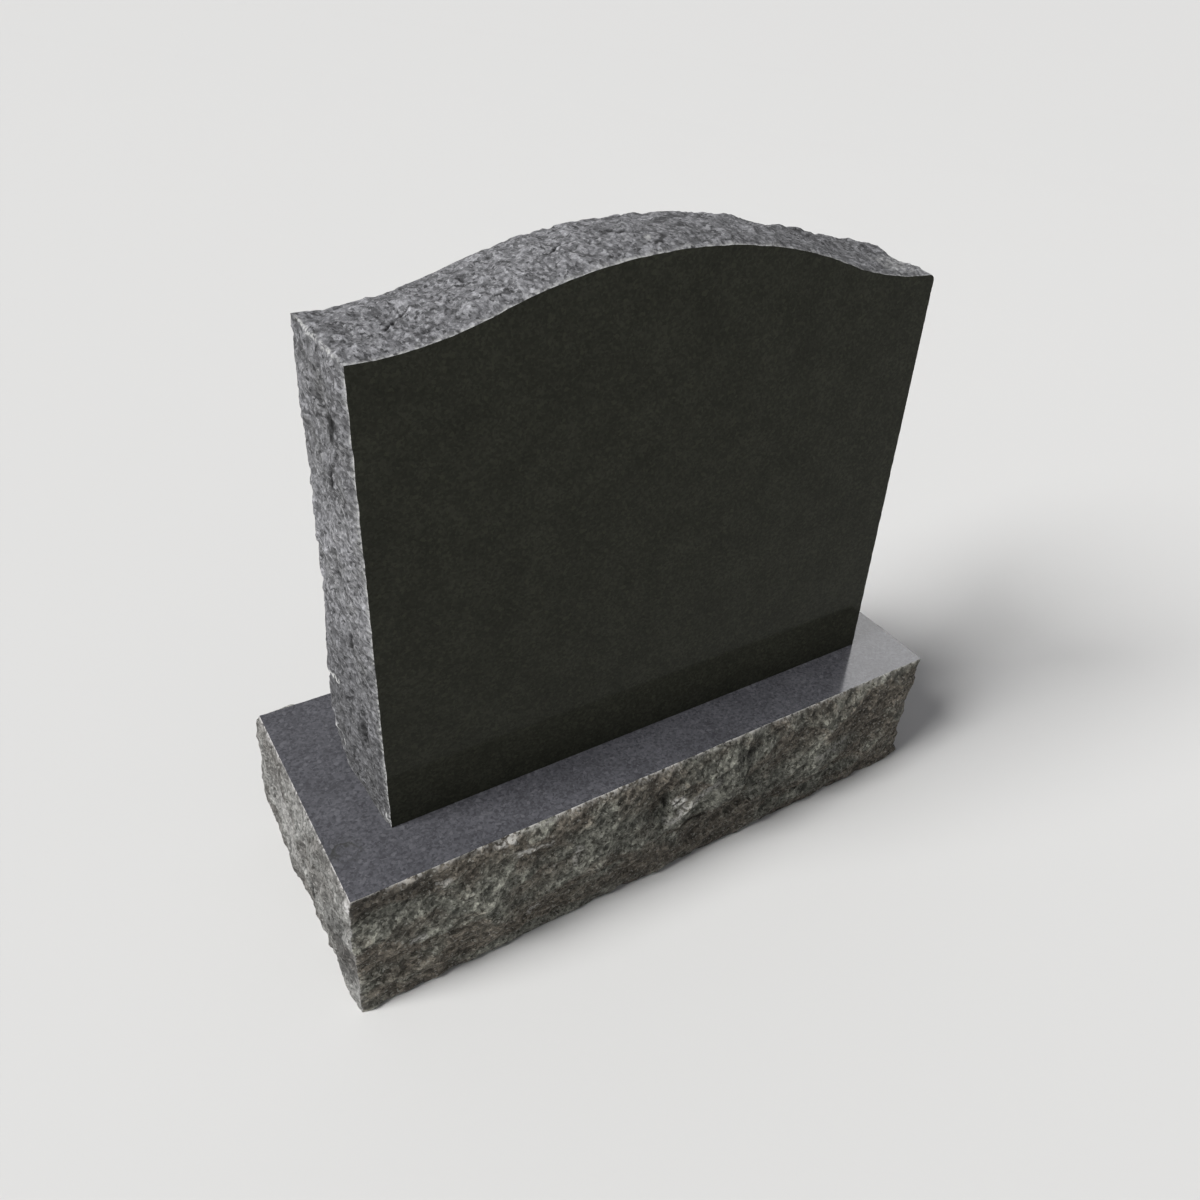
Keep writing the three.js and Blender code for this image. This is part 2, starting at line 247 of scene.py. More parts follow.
TABLET_FACES = {
    "left": {
        "bulge": 5, "seed": 53, "kept": (0, 0.35, 0.6, 0.3),
        "forms": [form(1, 0.2, 110, 200, 190, 0, 10), form(0.4, 0.86, 70, 20, 20, 90, -4)],
        "streak": 0,
        "marks": [
            mark(47, 519, 19, 20, 90, painted_shade_and_stain=1), mark(37, 491, 15, 7, 96, depth=3, painted_shade_and_stain=0.6),
            mark(65, 450, 19, 5, -67, depth=4, painted_shade_and_stain=1), mark(52, 468, 12, 5, 60, depth=2, painted_shade_and_stain=0.7),
            mark(64, 244, 22, 6, -66, depth=4, painted_shade_and_stain=0.8), mark(61, 207, 13, 6, 12, depth=3, painted_shade_and_stain=0.7),
            mark(80, 330, 16, 6, 80, depth=3, painted_shade_and_stain=0.6), mark(46, 120, 16, 6, 70, depth=3, painted_shade_and_stain=0.7),
            mark(125, 150, 27, 4, -21, pale=1), mark(133, 49, 18, 4.5, 26, pale=1),
            mark(5, 12, 16, 4, 62, pale=0.8), mark(104, 596, 40, 1.6, 0, pale=0.8),
            mark(40, 595, 22, 1.5, -3, pale=0.7), mark(78, 380, 14, 3, 30, pale=0.5),
        ],
        "painted_shade_patches": [mark(76, 90, 210, 220, 90, painted_shade_and_stain=0.55), mark(76, 520, 160, 220, 90, painted_shade_and_stain=0.25)],
    },
    "right": {"bulge": 5, "seed": 61, "kept": (0, 0.35, 0.6, 0.1), "forms": []},
    "top": {
        "bulge": 5, "seed": 79, "kept": (0.3, 0.35, 0, 0.1),
        "forms": [
            form(0.33, 1, 330, 95, 95, 0, -7),
            form(0.88, 1, 80, 80, 80, 0, 10),
            form(1, 0.7, 60, 45, 40, 0, 6),
        ],
        "streak": 90,
        "marks": [
            mark(0, 104, 1.8, 40, 0, pale=0.8), mark(0, 44, 1.8, 22, 0, pale=0.7),
            mark(66, 60, 15, 2.6, 48, depth=3, painted_shade_and_stain=1), mark(84, 74, 10, 3, 20, depth=2.5, painted_shade_and_stain=0.9),
            mark(248, 64, 13, 3, 30, depth=3, painted_shade_and_stain=1), mark(330, 70, 11, 4, 50, depth=3.5, painted_shade_and_stain=1),
            mark(322, 86, 8, 6, 0, depth=1.5, painted_shade_and_stain=0.8), mark(610, 90, 14, 3, 10, depth=2, painted_shade_and_stain=0.8),
            mark(96, 24, 20, 2.4, 12, depth=2, painted_shade_and_stain=0.6), mark(160, 100, 16, 3, 70, depth=2, painted_shade_and_stain=0.7),
            mark(354, 29, 24, 4, 47, painted_shade_and_stain=0.9), mark(343, 37, 11, 4, 50, pale=0.5),
            mark(432, 114, 16, 16, 30, painted_shade_and_stain=0.6), mark(394, 94, 14, 14, 40, painted_shade_and_stain=0.5),
            mark(408, 70, 14, 6, 40, painted_shade_and_stain=0.7), mark(735, 40, 45, 34, 0, pale=0.3),
            mark(648, 90, 90, 50, -20, painted_shade_and_stain=0.2), mark(553, 54, 20, 8, 30, painted_shade_and_stain=0.6),
        ],
        "painted_shade_patches": [mark(740, 76, 480, 300, 0, painted_shade_and_stain=0.36)],
    },
    "back": {"bulge": 9, "seed": 83, "kept": (0.35, 0.35, 0.7, 0.4), "forms": []},
}


def scatter(i, j, seed):
    """A fixed number from 0 to 1 for each lattice point."""
    h = (i * SPREAD_I + j * SPREAD_J + seed * SPREAD_SEED) & WORD
    h = ((h ^ (h >> 13)) * SPREAD_AGAIN) & WORD
    h = h ^ (h >> 16)
    return h / (WORD + 1)


def cell(x):
    return np.floor(x).astype(np.int64)


def waves(x, y, seed):
    """Slow waves from -1 to 1."""
    i, j = cell(x), cell(y)
    fx, fy = x - i, y - j
    fx, fy = fx * fx * (3 - 2 * fx), fy * fy * (3 - 2 * fy)
    low = scatter(i, j, seed) * (1 - fx) + scatter(i + 1, j, seed) * fx
    high = scatter(i, j + 1, seed) * (1 - fx) + scatter(i + 1, j + 1, seed) * fx
    return 2 * (low * (1 - fy) + high * fy) - 1


def bowls(x, y, seed):
    """Shell-shaped hollows that meet in sharp crests, about -0.5 to 0.5."""
    i, j = cell(x), cell(y)
    lowest = np.full(x.shape, np.inf)
    for a in range(-2, 3):
        for b in range(-2, 3):
            p, q = i + a, j + b
            dx = x - p - scatter(p, q, seed)
            dy = y - q - scatter(p, q, seed + 1)
            lean = scatter(p, q, seed + 2) - 0.5
            uneven = BOWL_UNEVEN * scatter(p, q, seed + 3)
            level = dx * dx + dy * dy + uneven + BOWL_LEAN * lean * dx
            lowest = np.minimum(lowest, level)
    return lowest - 0.5


def along_and_across(u, v, turn):
    """An offset on a face, taken along a direction and across it."""
    along = u * math.cos(turn) + v * math.sin(turn)
    across = v * math.cos(turn) - u * math.sin(turn)
    return along, across


def form_height(one, face, u, v):
    """How far a ridge stands out, or a trough lies in, with round ends and soft sides."""
    du = u - one["at"][0] * face["length"]
    dv = v - one["at"][1] * face["height"]
    along, across = along_and_across(du, dv, one["turn"])
    reach = np.where(across > 0, one["above"], one["below"])
    end = np.maximum(0, 1 - (along / one["half"]) ** 2)
    side = np.maximum(0, 1 - np.abs(across) / reach)
    return one["rise"] * end * side * side * (3 - 2 * side)


def mark_share(one, u, v, seed):
    """1 in the middle of a mark and 0 outside it. Its edges wander with the grain."""
    wander = waves(u / WANDER["spacing"], v / WANDER["spacing"], seed + 31)
    along, across = along_and_across(u - one["at"][0], v - one["at"][1], one["turn"])
    across = across + WANDER["share"] * min(one["reach"], WANDER["most"]) * wander
    end = np.maximum(0, 1 - (along / one["half"]) ** 2)
    return end * np.maximum(0, 1 - (across / one["reach"]) ** 2)


def edge_reaches(face, u, v):
    """For each of the four edges: how far it is, how much is kept there, and the run along it."""
    reaches = (u, face["length"] - u, v, face["height"] - v)
    runs = (v, v, u, u)
    return [
        (np.maximum(0, reach), kept, run)
        for reach, kept, run in zip(reaches, face["kept"], runs)
    ]


def broken_surface(face, u, v):
    """The broken face as it would run on, with no arrises: its swell, and its large forms."""
    strength = face["bulge"] / FULL_BULGE
    seed = face["seed"]
    swell = face["bulge"] + strength * (
        WAVE["height"] * waves(u / WAVE["spacing"], v / WAVE["spacing"], seed)
        + BOWL["depth"] * bowls(u / BOWL["spacing"], v / BOWL["spacing"], seed + 1)
        + CHIP["depth"] * bowls(u / CHIP["spacing"], v / CHIP["spacing"], seed + 5)
    )
    large = sum((form_height(one, face, u, v) for one in face["forms"]), np.zeros(u.shape))
    return swell, large


def coarse_relief(face, u, v):
    """The relief that the solids have: how far the face stands out beyond its nominal plane."""
    swell, large = broken_surface(face, u, v)
    for reach, kept, _ in edge_reaches(face, u, v):
        fade = np.exp(-reach / (CORNER_LIP if kept else LIP))
        swell = swell * (1 - (1 - kept) * fade)
        if kept == 0:
            large = large * (1 - fade)
    return swell + large


def fine_relief(face, u, v):
    """Flakes, grit and cracks, smaller than the solids can hold, and nicks in the arrises.
    The second value is 1 in the pits between the grit and 0 on its crests."""
    seed = face["seed"]
    rough = LEAST_ROUGH + (1 - LEAST_ROUGH) * face["bulge"] / FULL_BULGE
    along, across = along_and_across(u, v, math.radians(face.get("streak", 0)))
    along = along / STREAK_STRETCH
    flakes = bowls(along / FLAKE["spacing"], across / FLAKE["spacing"], seed + 9)
    grit = bowls(along / GRIT["spacing"], across / GRIT["spacing"], seed + 13)
    crystals = waves(u / CRYSTAL["spacing"], v / CRYSTAL["spacing"], seed + 17)
    hollow = HOLLOW["level"] - HOLLOW["per_grit"] * grit - HOLLOW["per_flake"] * flakes
    fine = rough * (FLAKE["depth"] * flakes + GRIT["depth"] * grit) + CRYSTAL["height"] * crystals
    for one in face.get("ledges", []):
        fine = fine + form_height(one, face, u, v)
    for one in face.get("marks", []):
        if one["depth"]:
            fine = fine - one["depth"] * mark_share(one, u, v, seed)
    nick = np.zeros(u.shape)
    for reach, kept, run in edge_reaches(face, u, v):
        fade = np.exp(-reach / FINE_LIP)
        if kept:
            fine = fine - fade * np.maximum(0, fine)
        else:
            fine = fine * (1 - fade)
            bite = bowls(run / NICK["spacing"], np.full(run.shape, 0.5), seed + 21)
            nick = nick + NICK["depth"] * np.minimum(0, bite) * fade
    return fine + nick, np.clip(hollow, 0, 1)


def underside(face, u, v):
    """1 where the broken face leans over or lies deep, and 0 where it faces up or stands out."""
    above, here, below = (
        sum(broken_surface(face, u, v + step))
        + sum(form_height(one, face, u, v + step) for one in face.get("ledges", []))
        for step in (LEAN_REACH, 0, -LEAN_REACH)
    )
    lean = (above - below) / (2 * LEAN_REACH)
    level = UNDERSIDE["level"] + UNDERSIDE["per_lean"] * lean
    level = level - UNDERSIDE["per_mm"] * (here - face["bulge"])
    foot = UNDERSIDE["at_foot"] * np.exp(-v / FOOT_REACH)
    rust = sum(one["painted_shade_and_stain"] * mark_share(one, u, v, face["seed"]) for one in face.get("rust", []))
    return np.clip(level + foot + rust, 0, 1)


def tones(face, u, v):
    """How far the stone is whitened by blows, on arrises most, and darkened by painted shade in its
    cracks, folds and wide shaded patches.
    """
    bruise = np.zeros(u.shape)
    painted_shade_and_stain = np.zeros(u.shape)
    for reach, kept, _ in edge_reaches(face, u, v):
        strength, width = ROUGH_EDGE_BRUISE if kept else CRISP_EDGE_BRUISE
        bruise = np.maximum(bruise, strength * np.exp(-reach / width))
    for one in face.get("marks", []):
        share = np.minimum(1, 2 * mark_share(one, u, v, face["seed"]))
        bruise = np.maximum(bruise, one["pale"] * share)
        painted_shade_and_stain = np.maximum(painted_shade_and_stain, one["painted_shade_and_stain"] * share)
    # Wide patches of painted shade, where less light falls on the face
    for one in face.get("painted_shade_patches", []):
        painted_shade_and_stain = 1 - (1 - painted_shade_and_stain) * (1 - one["painted_shade_and_stain"] * mark_share(one, u, v, face["seed"]))
    return bruise, painted_shade_and_stain


def stations(length, step):
    """Places along an edge, with close rows at both ends and an even number of cells."""
    margin = ARRIS_ROWS[-1]
    cells = 2 * round((length - 2 * margin) / step / 2)
    inner = np.linspace(margin, length - margin, cells + 1)[1:-1]
    rows = np.array(ARRIS_ROWS)
    return np.concatenate([rows, inner, length - rows[::-1]])


# Which lattice point lies at (a, b) on each side of a block, with a x b pointing outwards
SIDES = {
    "front": lambda a, b, n: (a, 0 * a, b),
    "back": lambda a, b, n: (b, 0 * a + n[1], a),
    "left": lambda a, b, n: (0 * a, b, a),
    "right": lambda a, b, n: (0 * a + n[0], a, b),
    "bottom": lambda a, b, n: (b, a, 0 * a),
    "top": lambda a, b, n: (a, b, 0 * a + n[2]),
}
SIDE_COUNTS = {
    "front": (0, 2), "back": (2, 0), "left": (2, 1),
    "right": (1, 2), "bottom": (1, 0), "top": (0, 1),
}


def side_grid(name, counts):
    """The lattice points of one side of a block: their a and b, and their place in the block."""
    na, nb = (counts[axis] for axis in SIDE_COUNTS[name])
    a, b = np.meshgrid(np.arange(na + 1), np.arange(nb + 1), indexing="ij")
    return a, b, SIDES[name](a, b, counts)


def rim_of(grid):
    """The outer ring of a grid, once round."""
    return np.concatenate([grid[:-1, 0], grid[-1, :-1], grid[:0:-1, -1], grid[0, :0:-1]])


def fine_faces(ids):
    quads = np.stack([ids[:-1, :-1], ids[1:, :-1], ids[1:, 1:], ids[:-1, 1:]], axis=-1)
    return quads.reshape(-1, 4).tolist()


def coarse_faces(ids):
    """Cells twice as wide, which still take every point of the rim."""
    na, nb = ids.shape[0] - 1, ids.shape[1] - 1
    faces = []
    for a in range(0, na, 2):
        for b in range(0, nb, 2):
            ring = [(a, b), (a + 2, b), (a + 2, b + 2), (a, b + 2)]
            if a == 0:
                ring.insert(4, (a, b + 1))
            if b + 2 == nb:
                ring.insert(3, (a + 1, nb))
            if a + 2 == na:
                ring.insert(2, (na, b + 1))
            if b == 0:
                ring.insert(1, (a + 1, 0))
            faces.append([int(ids[p]) for p in ring])
    return faces


def build_block(name, spaces, placed, finish, materials):
    """A closed block. finish says for each side whether it is fine, coarse or flat, and the
    number of its material. placed gives each lattice point's place and its tones."""
    counts = [len(s) - 1 for s in spaces]
    used = np.zeros([c + 1 for c in counts], bool)
    for side, (kind, _) in finish.items():
        a, b, (i, j, k) = side_grid(side, counts)
        on_rim = (a == 0) | (b == 0) | (a == a.max()) | (b == b.max())
        keep = {
            "fine": np.ones(a.shape, bool),
            "coarse": on_rim | ((a % 2 == 0) & (b % 2 == 0)),
            "flat": on_rim,
        }[kind]
        used[i[keep], j[keep], k[keep]] = True
    ids = np.full(used.shape, -1)
    lattice = np.nonzero(used)
    ids[lattice] = np.arange(len(lattice[0]))
    points, tone = placed(*(space[at] for space, at in zip(spaces, lattice)))
    points = list(points)

    faces, numbers = [], []
    for side, (kind, number) in finish.items():
        _, _, (i, j, k) = side_grid(side, counts)
        grid = ids[i, j, k]
        if kind == "fine":
            new = fine_faces(grid)
        elif kind == "coarse":
            new = coarse_faces(grid)
        else:
            new = flat_faces(rim_of(grid), points)
        faces += new
        numbers += [number] * len(new)

    mesh = bpy.data.meshes.new(name)
    mesh.from_pydata((np.array(points) * MM).tolist(), [], faces)
    mesh.polygons.foreach_set("material_index", numbers)
    for material in materials:
        mesh.materials.append(material)
    mesh.update()
    for key, values in tone.items():
        values = np.append(values, np.zeros(len(points) - len(values)))
        mesh.attributes.new(key, "FLOAT", "POINT").data.foreach_set("value", values)
    piece = bpy.data.objects.new(name, mesh)
    bpy.context.scene.collection.objects.link(piece)
    return piece


def flat_faces(rim, points):
    """A dressed face: a narrow band inside the rim, then a fan from its middle."""
    ring = np.array([points[p] for p in rim])
    middle = (ring.min(0) + ring.max(0)) / 2
    inner = middle + (ring - middle) * (1 - RIM / np.maximum(RIM, np.abs(ring - middle).max(0)))
    first = len(points)
    points.extend(inner)
    centre = len(points)
    points.append(middle)
    faces = []
    for n, p in enumerate(rim):
        following = (n + 1) % len(rim)
        faces.append([int(p), int(rim[following]), first + following, first + n])
        faces.append([first + n, first + following, centre])
    return faces


def pitch(nominal, normals, sides, faces):
    """Moves nominal points outwards by the relief of each pitched face they are on or near,
    and gives the tones of the stone there."""
    moved = nominal.copy()
    tone = {key: np.zeros(len(nominal)) for key in ("bruise", "painted_shade_and_stain", "underside", "hollow")}
    for name, (u, v, inside) in sides.items():
        near = inside < CORNER_BLEND
        share = (1 - inside[near] / CORNER_BLEND) ** 2
        face = faces[name]
        fine, hollow = fine_relief(face, u[near], v[near])
        height = share * (coarse_relief(face, u[near], v[near]) + fine)
        direction = np.broadcast_to(normals[name], nominal.shape)[near]
        moved[near] += direction * height[:, None]
        on_face = inside < TINY
        bruise, painted_shade_and_stain = tones(face, u[on_face], v[on_face])
        values = {"bruise": bruise, "painted_shade_and_stain": painted_shade_and_stain, "hollow": hollow[on_face[near]]}
        if name != "top":
            values["underside"] = underside(face, u[on_face], v[on_face])
        for key, value in values.items():
            tone[key][on_face] = np.maximum(tone[key][on_face], value)
    return moved, tone


def node_points(node):
    return np.array([v.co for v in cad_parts[node].data.vertices]) / MM


def level_points(points, axis, value):
    return points[np.abs(points[:, axis] - value) < SAME_LEVEL]


# The crisp arrises of the solids give the sizes that the fine lattice starts from
base_cad = node_points("base")
base_top = level_points(base_cad, 2, base_cad[:, 2].max())
BASE_LOW, BASE_HIGH = base_top.min(0), base_top.max(0)
BASE_LENGTH = BASE_HIGH[0] - BASE_LOW[0]
BASE_DEPTH = BASE_HIGH[1] - BASE_LOW[1]
BASE_HEIGHT = BASE_HIGH[2]

tablet_cad = node_points("tablet")
tablet_front = level_points(tablet_cad, 1, tablet_cad[:, 1].min())
FRONT_Y = tablet_front[:, 1].min()
BED = tablet_front[:, 2].min()
CROWN = tablet_front[:, 2].max() - BED
TABLET_LEFT_X, TABLET_RIGHT_X = tablet_front[:, 0].min(), tablet_front[:, 0].max()
TABLET_WIDTH = TABLET_RIGHT_X - TABLET_LEFT_X
SHOULDER = level_points(tablet_front, 0, TABLET_LEFT_X)[:, 2].max() - BED

for name, length, height in (
    ("front", BASE_LENGTH, BASE_HEIGHT), ("back", BASE_LENGTH, BASE_HEIGHT),
    ("left", BASE_DEPTH, BASE_HEIGHT), ("right", BASE_DEPTH, BASE_HEIGHT),
):
    BASE_FACES[name].update(length=length, height=height)
for name, length, height in (
    ("left", TABLET_THICKNESS, SHOULDER), ("right", TABLET_THICKNESS, SHOULDER),
    ("top", TABLET_WIDTH, TABLET_THICKNESS), ("back", TABLET_WIDTH, SHOULDER),
):
    TABLET_FACES[name].update(length=length, height=height)

OUTWARD = {
    "front": np.array([0, -1, 0]), "back": np.array([0, 1, 0]),
    "left": np.array([-1, 0, 0]), "right": np.array([1, 0, 0]),
}

# The serpentine: two arcs, level where they end
rise = CROWN - SHOULDER
half_width = TABLET_WIDTH / 2
both_radii = (half_width ** 2 + rise ** 2) / (2 * rise)
crown_radius = CROWN_SHARE * both_radii
flank_radius = both_radii - crown_radius
meet_x = crown_radius * half_width / both_radii


def serpentine(x):
    across = np.minimum(np.abs(x), half_width)
    crown = CROWN - crown_radius + np.sqrt(np.maximum(0, crown_radius ** 2 - across ** 2))
    flank = SHOULDER + flank_radius - np.sqrt(flank_radius ** 2 - (half_width - across) ** 2)
    return np.where(across < meet_x, crown, flank)


def serpentine_normal(x):
    across = np.minimum(np.abs(x), half_width)
    run = np.where(across < meet_x, across, half_width - across)
    radius = np.where(across < meet_x, crown_radius, flank_radius)
    slope = np.sign(x) * run / np.sqrt(radius ** 2 - run ** 2)
    normal = np.stack([slope, np.zeros(x.shape), np.ones(x.shape)], axis=-1)
    return normal / np.linalg.norm(normal, axis=-1, keepdims=True)


def base_points(along, deep, high):
    nominal = np.stack([BASE_LOW[0] + along, BASE_LOW[1] + deep, high], axis=-1)
    sides = {
        "front": (along, high, deep), "back": (along, high, BASE_DEPTH - deep),
        "left": (deep, high, along), "right": (deep, high, BASE_LENGTH - along),
    }
    return pitch(nominal, OUTWARD, sides, BASE_FACES)


def wear_shoulder(x, z):
    """The right shoulder has lost its sharp corner."""
    dx = x - (half_width - WORN_SHOULDER)
    dz = z - (SHOULDER - WORN_SHOULDER)
    reach = np.maximum(np.hypot(dx, dz), TINY)
    worn = (dx > 0) & (dz > 0) & (reach > WORN_SHOULDER)
    pull = np.where(worn, 1 - WORN_SHOULDER / reach, 0)
    return x - dx * pull, z - dz * pull


def tablet_points(along, deep, high):
    x = along - half_width
    crest = serpentine(x)
    level = high / SHOULDER * crest
    worn_x, worn_z = wear_shoulder(x, level)
    centre = (TABLET_LEFT_X + TABLET_RIGHT_X) / 2
    nominal = np.stack([centre + worn_x, FRONT_Y + deep, BED + worn_z], axis=-1)
    sides = {
        "back": (along, high, TABLET_THICKNESS - deep),
        "left": (deep, high, along), "right": (deep, high, TABLET_WIDTH - along),
        "top": (along, deep, crest - level),
    }
    return pitch(nominal, {**OUTWARD, "top": serpentine_normal(x)}, sides, TABLET_FACES)


class Nodes:
    """A short way to write a material's node tree."""

    def __init__(self, name):
        self.material = bpy.data.materials.new(name)
        self.material.use_nodes = True
        self.tree = self.material.node_tree
        self.shader = self.tree.nodes["Principled BSDF"]

    def add(self, kind, inputs=None, **settings):
        node = self.tree.nodes.new(kind)
        for key, value in settings.items():
            setattr(node, key, value)
        for key, value in (inputs or {}).items():
            self.set(node, key, value)
        return node

    def set(self, node, key, value):
        if isinstance(value, bpy.types.NodeSocket):
            self.tree.links.new(value, node.inputs[key])
        else:
            node.inputs[key].default_value = value

    def place(self):
        return self.add("ShaderNodeTexCoord").outputs["Object"]

    def noise(self, scale, detail=2.0, roughness=0.5, vector=None):
        node = self.add("ShaderNodeTexNoise", {
            "Vector": vector or self.place(), "Scale": scale,
            "Detail": detail, "Roughness": roughness,
        })
        return node.outputs["Fac"]

    def cells(self, scale, vector):
        return self.add("ShaderNodeTexVoronoi", {"Vector": vector, "Scale": scale})

    def ramp(self, value, stops):
        node = self.add("ShaderNodeValToRGB", {"Fac": value})
        elements = node.color_ramp.elements
        while len(elements) < len(stops):
            elements.new(0.5)
        for element, (position, color) in zip(elements, stops):
            element.position = position
            element.color = (*color, 1)
        return node.outputs["Color"]

    def mix(self, factor, first, second, blend="MIX"):
        node = self.add("ShaderNodeMix", data_type="RGBA", blend_type=blend)
        self.set(node, 0, factor)
        for key, value in ((6, first), (7, second)):
            if isinstance(value, tuple):
                value = (*value, 1)
            self.set(node, key, value)
        return node.outputs[2]

    def shaded(self, stone, value, *stops):
        """The stone times a factor that follows the value. Each stop is a value and a factor."""
        factor = self.ramp(value, [(position, grey(share)) for position, share in stops])
        return self.mix(1.0, stone, factor, "MULTIPLY")

    def math(self, operation, first, second):
        node = self.add("ShaderNodeMath", operation=operation)
        self.set(node, 0, first)
        self.set(node, 1, second)
        return node.outputs[0]

    def bump(self, height, distance, strength):
        node = self.add("ShaderNodeBump", {
            "Height": height, "Distance": distance, "Strength": strength,
        })
        return node.outputs["Normal"]


def grey(value):
    return (value, value, value)


def warped_place(nodes, reach, scale):
    """The place on the stone, shaken a little, so that crystals get ragged outlines."""
    place = nodes.place()
    noise = nodes.add("ShaderNodeTexNoise", {"Vector": place, "Scale": scale, "Detail": 3.0})
    shift = {0: noise.outputs["Color"], "Scale": reach}
    shift = nodes.add("ShaderNodeVectorMath", shift, operation="SCALE").outputs[0]
    return nodes.add("ShaderNodeVectorMath", {0: place, 1: shift}, operation="ADD").outputs[0]


def grains(nodes, scale, place):
    """A chance value for each crystal."""
    color = nodes.cells(scale, place).outputs["Color"]
    return nodes.add("ShaderNodeSeparateColor", {"Color": color}).outputs[0]


def vertex_value(nodes, name):
    return nodes.add("ShaderNodeAttribute", attribute_name=name).outputs["Fac"]


def pitched_granite(
    name, fresh, stained_and_shaded, stain_level, fleck, glint, bruised, pit_shade, lean_shade,
    grain, tint, bed, bump,
):
    """Broken granite: crystals 2 to 6 mm across, dark flecks and pits, light glints, and a
    brown stain in patches. The stain also grows on what faces down or lies deep, and there it is
    partly stain and partly painted shade. Painted shade darkens the pits between the grit, the
    cracks and what faces down; painted light brightens the crests and what faces up. The
    crystals are drawn out along Y by bed."""
    nodes = Nodes(name)
    shaken = warped_place(nodes, **PITCHED_SHAKE)
    place = nodes.add("ShaderNodeMapping", {"Vector": shaken, "Scale": (1, 1 / bed, 1)}).outputs[0]
    patches = nodes.noise(STAIN_SCALE, 5.0, 0.65)
    patches = nodes.math("MULTIPLY", patches, STAIN_PER_PATCH)
    # The stain grows on undersides: there it is partly brown stain and partly painted shade
    stain = nodes.math("ADD", vertex_value(nodes, "underside"), patches)
    stain = nodes.math("ADD", stain, stain_level - STAIN_START)
    stain = nodes.ramp(stain, [(0.15, grey(0)), (0.85, grey(1))])
    stone = nodes.mix(stain, fresh, stained_and_shaded)
    # Painted shade in the pits between the grit, painted light on their crests
    hollow = vertex_value(nodes, "hollow")
    stone = nodes.shaded(stone, hollow, (0.2, 1 + pit_shade), (0.8, 1 - pit_shade))
    # Painted shade on what faces down or lies deep, painted light on what faces up
    lean = vertex_value(nodes, "underside")
    stone = nodes.shaded(stone, lean, (0.15, 1 + lean_shade), (0.95, 1 - lean_shade))
    coarse = grains(nodes, grain, place)
    stone = nodes.shaded(stone, coarse, (0.1, 1 - tint), (0.9, 1 + tint))
    chaos = nodes.noise(CHAOS_SCALE, 4.0, 0.7, place)
    stone = nodes.shaded(stone, chaos, (0.36, 0.65), (0.64, 1.35))
    small = grains(nodes, SMALL_GRAIN_SCALE, place)
    stone = nodes.shaded(stone, small, (0.1, 0.8), (0.9, 1.2))
    dark = nodes.noise(FLECK_SCALE, 4.0, 0.65, place)
    dark = nodes.ramp(dark, [(0.375, grey(0.9)), (0.425, grey(0))])
    stone = nodes.mix(dark, stone, fleck)
    light = nodes.ramp(grains(nodes, GLINT_SCALE, place), [(0.9, grey(0)), (0.96, grey(0.5))])
    stone = nodes.mix(light, stone, glint)
    # Painted shade: the cracks, folds and wide patches that lie in shade are darkened
    stone = nodes.shaded(stone, vertex_value(nodes, "painted_shade_and_stain"), (0, 1), (1, 0.12))
    ragged = nodes.ramp(nodes.noise(BRUISE_SCALE, 4.0), [(0.42, grey(0.05)), (0.54, grey(1))])
    bruise = nodes.math("MULTIPLY", vertex_value(nodes, "bruise"), ragged)
    stone = nodes.mix(bruise, stone, bruised)
    nodes.set(nodes.shader, "Base Color", stone)
    nodes.set(nodes.shader, "Roughness", 0.8)
    nodes.set(nodes.shader, "Specular IOR Level", 0.2)
    grit = nodes.math("SUBTRACT", nodes.noise(GRIT_SCALE, 4.0, 0.65), dark)
    nodes.set(nodes.shader, "Normal", nodes.bump(grit, 0.0014, bump))
    return nodes.material


def smudge_ring(nodes, centre):
    """A faint stain on the polish, darkest along its ragged rim."""
    place = warped_place(nodes, **SMUDGE_SHAKE)
    reach = nodes.add("ShaderNodeVectorMath", {0: place, 1: centre}, operation="DISTANCE")
    rim = nodes.math("MULTIPLY", reach.outputs["Value"], SMUDGE_OUTWARDS)
    rim = nodes.ramp(rim, [
        (0, grey(0.15)), (0.3, grey(0.12)), (0.42, grey(0.8)), (0.52, grey(0.12)),
        (0.8, grey(0)),
    ])
    behind = nodes.add("ShaderNodeSeparateXYZ", {0: nodes.place()}).outputs["Y"]
    behind = nodes.math("SUBTRACT", behind, centre[1] - SMUDGE_AHEAD)
    behind = nodes.math("MULTIPLY", behind, SMUDGE_BACKWARDS)
    return nodes.shaded(rim, behind, (0, 0.25), (1, 1))


def polished_granite(name, ground, dark, light, roughness, ior, smudge=None):
    """Polished granite: low contrast between its crystals, with sparse lighter ones."""
    nodes = Nodes(name)
    place = warped_place(nodes, **POLISHED_SHAKE)
    stone = nodes.shaded(ground, nodes.noise(CLOUD_SCALE, 3.0), (0.3, 0.86), (0.7, 1.14))
    tint = grains(nodes, TINT_SCALE, place)
    stone = nodes.shaded(stone, tint, (0.1, 0.8), (0.9, 1.2))
    shade = nodes.ramp(grains(nodes, SHADE_SCALE, place), [(0.1, grey(0.7)), (0.26, grey(0))])
    stone = nodes.mix(shade, stone, dark)
    spark = nodes.ramp(grains(nodes, SPARK_SCALE, place), [(0.9, grey(0)), (0.96, grey(0.6))])
    stone = nodes.mix(spark, stone, light)
    if smudge:
        stone = nodes.mix(smudge_ring(nodes, smudge), stone, SMUDGE_TONE)
    nodes.set(nodes.shader, "Base Color", stone)
    nodes.set(nodes.shader, "Roughness", roughness)
    nodes.set(nodes.shader, "IOR", ior)
    return nodes.material


